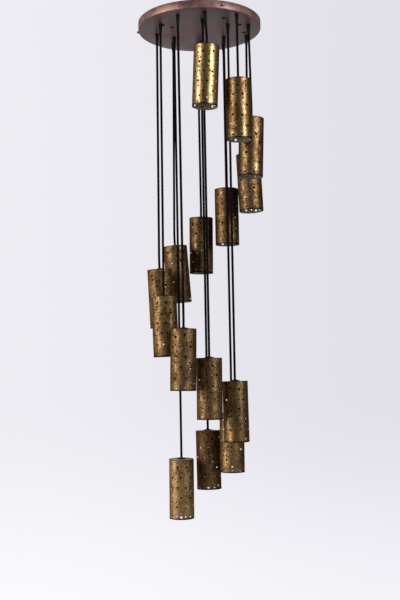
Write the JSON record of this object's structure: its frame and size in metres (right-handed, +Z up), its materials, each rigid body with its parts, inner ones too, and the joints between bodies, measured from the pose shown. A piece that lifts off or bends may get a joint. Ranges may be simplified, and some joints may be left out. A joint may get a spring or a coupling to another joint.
{
  "type": "cluster pendant lamp",
  "caption": "Cluster pendant lamp: perforated brass tube shades on black flexes, hung at falling heights in a spiral from one round ceiling canopy.",
  "frame": {"origin": "middle of the ceiling plate's top face, which lies on the ceiling", "axes": "+Z up into the ceiling, +X to the right and +Y away as seen from the side where the highest shade hangs"},
  "size_m": [0.4254, 0.4273, 1.6807],
  "materials": {
    "aged_brass": "satin",
    "canopy_copper": "satin",
    "flex_black": "matte",
    "bakelite": "satin",
    "zinc_steel": "satin",
    "black_steel": "satin",
    "black_rubber": "matte",
    "terminal_plastic": "matte",
    "lamp_glass": "gloss"
  },
  "bodies": {
    "canopy": {"ceiling_plate": "zinc_steel", "canopy_pan": "canopy_copper", "rim_screw_1": "black_steel", "rim_screw_2": "black_steel", "rim_screw_3": "black_steel", "blanking_plug_1": "black_rubber", "blanking_plug_2": "black_rubber", "blanking_plug_3": "black_rubber", "pan_earth_stud": "zinc_steel", "plate_earth_screw": "zinc_steel", "supply_grommet": "black_rubber", "terminal_strip_1": "terminal_plastic", "terminal_strip_2": "terminal_plastic"},
    "pendant_01": {"flex_01": "flex_black", "shade_01": "aged_brass", "lampholder_01": "bakelite"},
    "pendant_02": {"flex_02": "flex_black", "shade_02": "aged_brass", "lampholder_02": "bakelite"},
    "pendant_03": {"flex_03": "flex_black", "shade_03": "aged_brass", "lampholder_03": "bakelite"},
    "pendant_04": {"flex_04": "flex_black", "shade_04": "aged_brass", "lampholder_04": "bakelite"},
    "pendant_05": {"flex_05": "flex_black", "shade_05": "aged_brass", "lampholder_05": "bakelite"},
    "pendant_06": {"flex_06": "flex_black", "shade_06": "aged_brass", "lampholder_06": "bakelite"},
    "pendant_07": {"flex_07": "flex_black", "shade_07": "aged_brass", "lampholder_07": "bakelite"},
    "pendant_08": {"flex_08": "flex_black", "shade_08": "aged_brass", "lampholder_08": "bakelite"},
    "pendant_09": {"flex_09": "flex_black", "shade_09": "aged_brass", "lampholder_09": "bakelite"},
    "pendant_10": {"flex_10": "flex_black", "shade_10": "aged_brass", "lampholder_10": "bakelite"},
    "pendant_11": {"flex_11": "flex_black", "shade_11": "aged_brass", "lampholder_11": "bakelite"},
    "pendant_12": {"flex_12": "flex_black", "shade_12": "aged_brass", "lampholder_12": "bakelite"},
    "pendant_13": {"flex_13": "flex_black", "shade_13": "aged_brass", "lampholder_13": "bakelite"},
    "pendant_14": {"flex_14": "flex_black", "shade_14": "aged_brass", "lampholder_14": "bakelite"},
    "pendant_15": {"flex_15": "flex_black", "shade_15": "aged_brass", "lampholder_15": "bakelite"}
  },
  "joints": [
    {"name": "swing_01", "type": "hinge", "parent": "canopy", "child": "pendant_01", "pos_m": [0.01743, -0.17343, -0.027], "axis": [-0.9925, -0.1219, 0], "range_deg": [-3, 10]},
    {"name": "swing_02", "type": "hinge", "parent": "canopy", "child": "pendant_02", "pos_m": [0.12206, -0.14317, -0.027], "axis": [-0.766, -0.6428, 0], "range_deg": [-2.5, 10]},
    {"name": "swing_03", "type": "hinge", "parent": "canopy", "child": "pendant_03", "pos_m": [0.16506, -0.05143, -0.027], "axis": [-0.2924, -0.9563, 0], "range_deg": [-2, 10]},
    {"name": "swing_04", "type": "hinge", "parent": "canopy", "child": "pendant_04", "pos_m": [0.16284, 0.05384, -0.027], "axis": [0.3256, -0.9455, 0], "range_deg": [-3, 10]},
    {"name": "swing_05", "type": "hinge", "parent": "canopy", "child": "pendant_05", "pos_m": [0.0849, 0.13074, -0.027], "axis": [0.8387, -0.5446, 0], "range_deg": [-2, 10]},
    {"name": "swing_06", "type": "hinge", "parent": "canopy", "child": "pendant_06", "pos_m": [-0.00683, 0.16793, -0.027], "axis": [0.9994, 0.0349, 0], "range_deg": [-0.7, 10]},
    {"name": "swing_07", "type": "hinge", "parent": "canopy", "child": "pendant_07", "pos_m": [-0.09319, 0.1186, -0.027], "axis": [0.766, 0.6428, 0], "range_deg": [-1, 10]},
    {"name": "swing_08", "type": "hinge", "parent": "canopy", "child": "pendant_08", "pos_m": [-0.14687, 0.02519, -0.027], "axis": [0.1564, 0.9877, 0], "range_deg": [-1, 10]},
    {"name": "swing_09", "type": "hinge", "parent": "canopy", "child": "pendant_09", "pos_m": [-0.13094, -0.07084, -0.027], "axis": [-0.4695, 0.8829, 0], "range_deg": [-1.2, 10]},
    {"name": "swing_10", "type": "hinge", "parent": "canopy", "child": "pendant_10", "pos_m": [-0.07098, -0.14925, -0.027], "axis": [-0.9063, 0.4226, 0], "range_deg": [-0.4, 10]},
    {"name": "swing_11", "type": "hinge", "parent": "canopy", "child": "pendant_11", "pos_m": [0.01053, -0.10705, -0.027], "axis": [-0.9659, -0.2588, 0], "range_deg": [-1.5, 3.2]},
    {"name": "swing_12", "type": "hinge", "parent": "canopy", "child": "pendant_12", "pos_m": [0.09516, -0.05893, -0.027], "axis": [-0.6691, -0.7431, 0], "range_deg": [-0.7, 6.5]},
    {"name": "swing_13", "type": "hinge", "parent": "canopy", "child": "pendant_13", "pos_m": [0.08478, 0.06005, -0.027], "axis": [0.7071, -0.7071, 0], "range_deg": [-0.8, 10]},
    {"name": "swing_14", "type": "hinge", "parent": "canopy", "child": "pendant_14", "pos_m": [0.00435, 0.10728, -0.027], "axis": [0.7431, -0.6691, 0], "range_deg": [-0.3, 2]},
    {"name": "swing_15", "type": "hinge", "parent": "canopy", "child": "pendant_15", "pos_m": [-0.08796, 0.05818, -0.027], "axis": [0.5, 0.866, 0], "range_deg": [-0.8, 9]}
  ]
}
